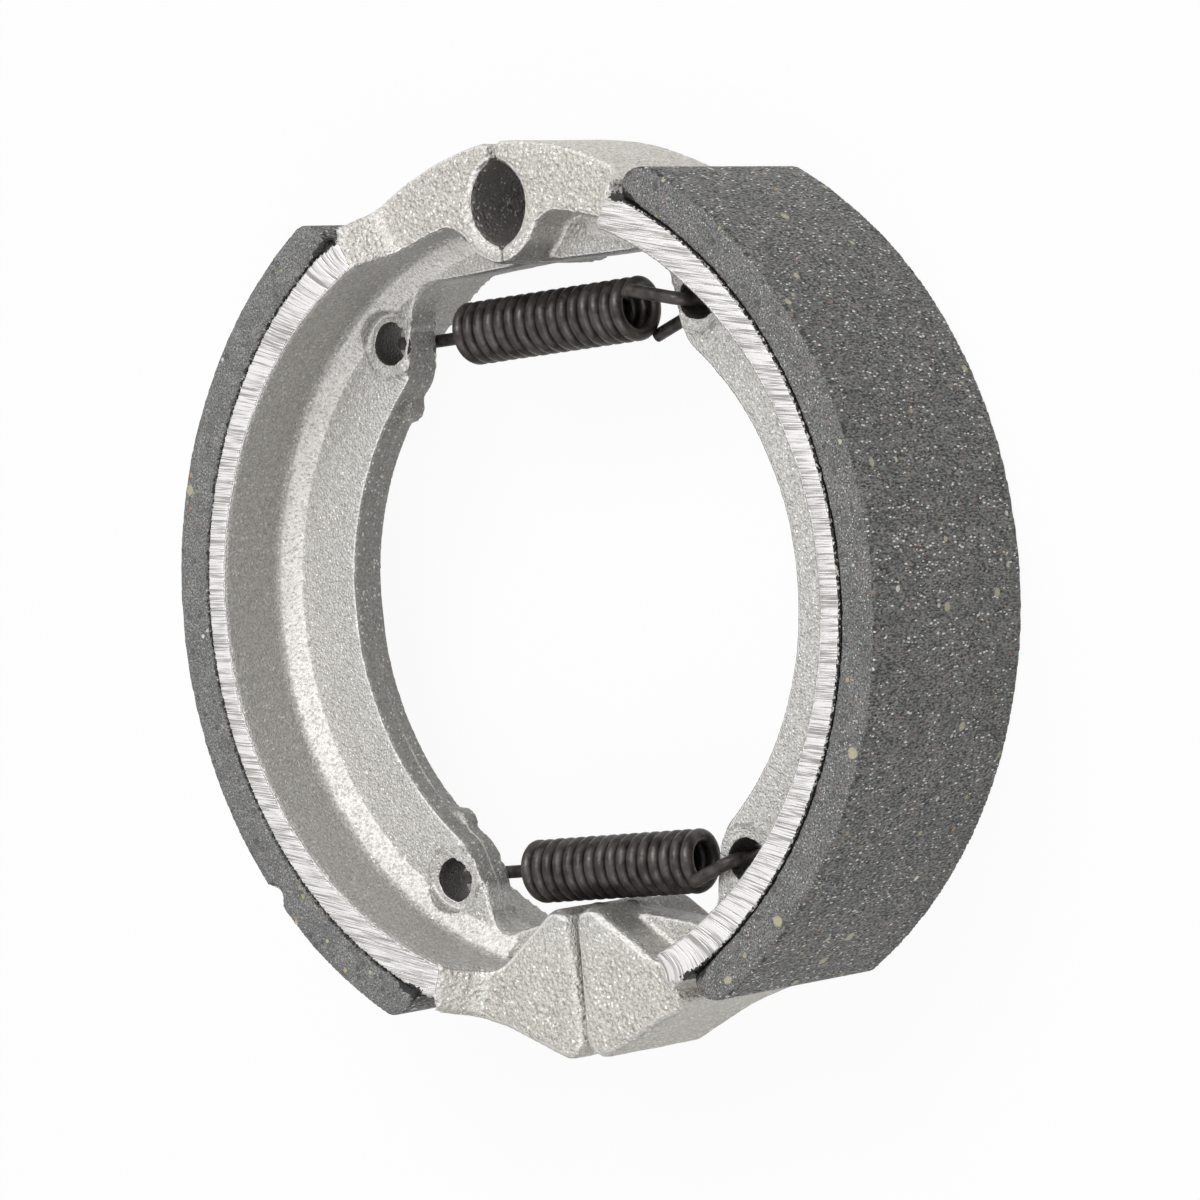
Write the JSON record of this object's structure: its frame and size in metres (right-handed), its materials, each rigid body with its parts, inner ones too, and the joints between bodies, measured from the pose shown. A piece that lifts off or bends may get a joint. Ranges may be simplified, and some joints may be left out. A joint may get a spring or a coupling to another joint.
{
  "type": "drum brake shoe pair",
  "caption": "Opposed cast brake shoes with bonded linings, drawn together by hooked return springs around an anchor pin opening and a cam gap.",
  "frame": {"origin": "the drum's axis, level with the back edges of the rims", "axes": "+Z along the drum's axis towards the front of the shoes, +Y towards the anchor pin end, +X towards the right shoe"},
  "size_m": [0.1052, 0.1068, 0.028],
  "materials": {
    "casting": "shot-blasted casting, ground on the rims' edges",
    "lining": "moulded friction composite, matte and speckled",
    "spring": "oiled dark spring wire"
  },
  "bodies": {
    "left": {"left_shoe": "casting", "left_lining": "lining", "anchor_spring": "spring", "cam_spring": "spring"},
    "right": {"right_shoe": "casting", "right_lining": "lining"}
  },
  "joints": [
    {"name": "shoe_spread", "type": "hinge", "parent": "left", "child": "right", "pos_m": [0, 0.04578, 0.014], "axis": [0, 0, 1], "range_deg": [0, 5.5], "stiffness_Nm_per_rad": 60, "springref_deg": -1.15, "deforming": ["anchor_spring", "cam_spring"]}
  ]
}
